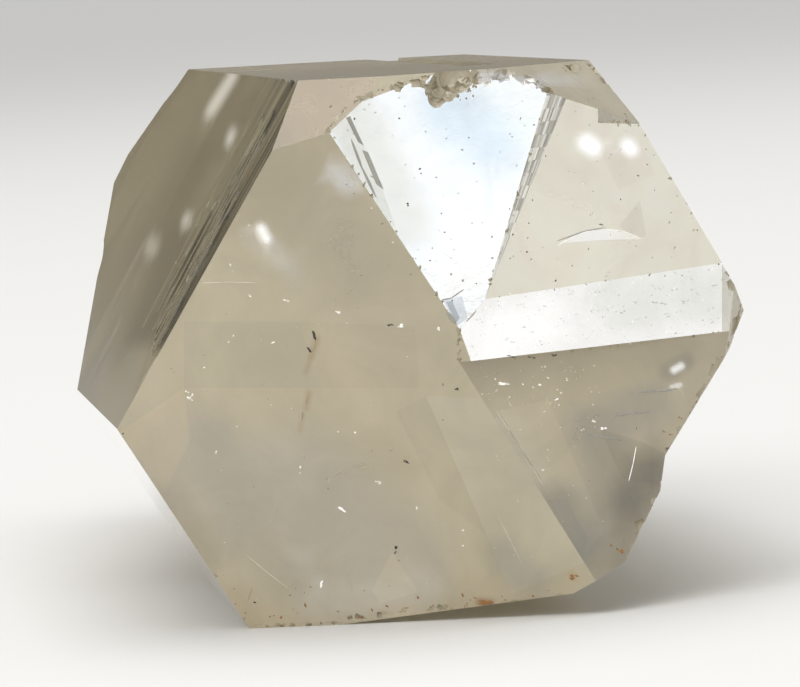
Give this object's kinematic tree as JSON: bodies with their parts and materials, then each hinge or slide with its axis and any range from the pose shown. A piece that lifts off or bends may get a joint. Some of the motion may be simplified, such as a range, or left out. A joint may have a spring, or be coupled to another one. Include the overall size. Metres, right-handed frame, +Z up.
{
  "type": "phenakite crystal",
  "caption": "Clear pale beige phenakite crystal: a stout six-sided prism lying on a side face, one end closed by low sloping faces, the other end broken off.",
  "frame": {"origin": "bottom centre of the bounding box, on the surface that the crystal lies on", "axes": "+Y along the long axis, from the faceted end at -Y to the broken end at +Y; +Z up from the side face it lies on; +X to the right when the faceted end is looked at"},
  "size_m": [0.02, 0.0526, 0.0169],
  "materials": {
    "clear_crystal": "clear, slightly warm mineral with glossy growth faces, fine grooves on one side face and rough broken places"
  },
  "bodies": {
    "root": {"phenakite_crystal": "clear_crystal"}
  },
  "joints": []
}
